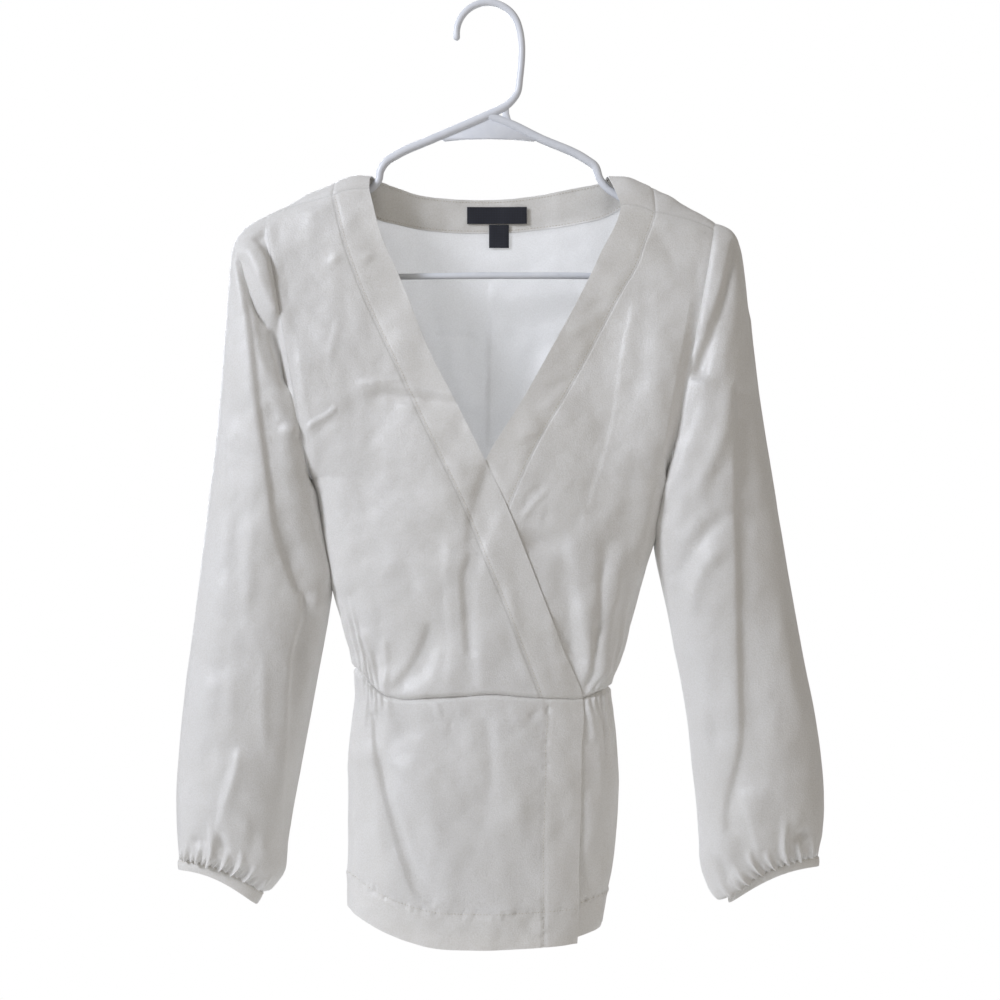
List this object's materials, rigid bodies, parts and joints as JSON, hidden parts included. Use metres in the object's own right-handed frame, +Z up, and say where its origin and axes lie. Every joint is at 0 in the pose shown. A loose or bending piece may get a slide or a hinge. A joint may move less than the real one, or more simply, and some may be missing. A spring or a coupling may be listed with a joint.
{
  "type": "wrap top on a hanger",
  "caption": "Long-sleeved wrap top with a banded V neck, a gathered waist and a peplum, sleeves gathered into narrow cuffs, hung on a tube hanger.",
  "frame": {"origin": "the middle of the hook's tube at its highest point, where a rail carries the hanger", "axes": "+Z is up, -Y is the front of the top and +X is the wearer's left"},
  "size_m": [0.5447, 0.1002, 0.7832],
  "materials": {
    "crepe": "satin-backed crepe, soft sheen",
    "hanger_plastic": "satin",
    "label": "woven, bare"
  },
  "bodies": {
    "root": {"bodice_back": "crepe", "bodice_front_right": "crepe", "bodice_front_left": "crepe", "neckband_back": "crepe", "neckband_right": "crepe", "neckband_left": "crepe", "peplum_back": "crepe", "peplum_front_right": "crepe", "peplum_front_left": "crepe", "sleeve_right": "crepe", "sleeve_left": "crepe", "cuff_right": "crepe", "cuff_left": "crepe", "hanger": "hanger_plastic", "label_main": "label", "label_size": "label"}
  },
  "joints": []
}
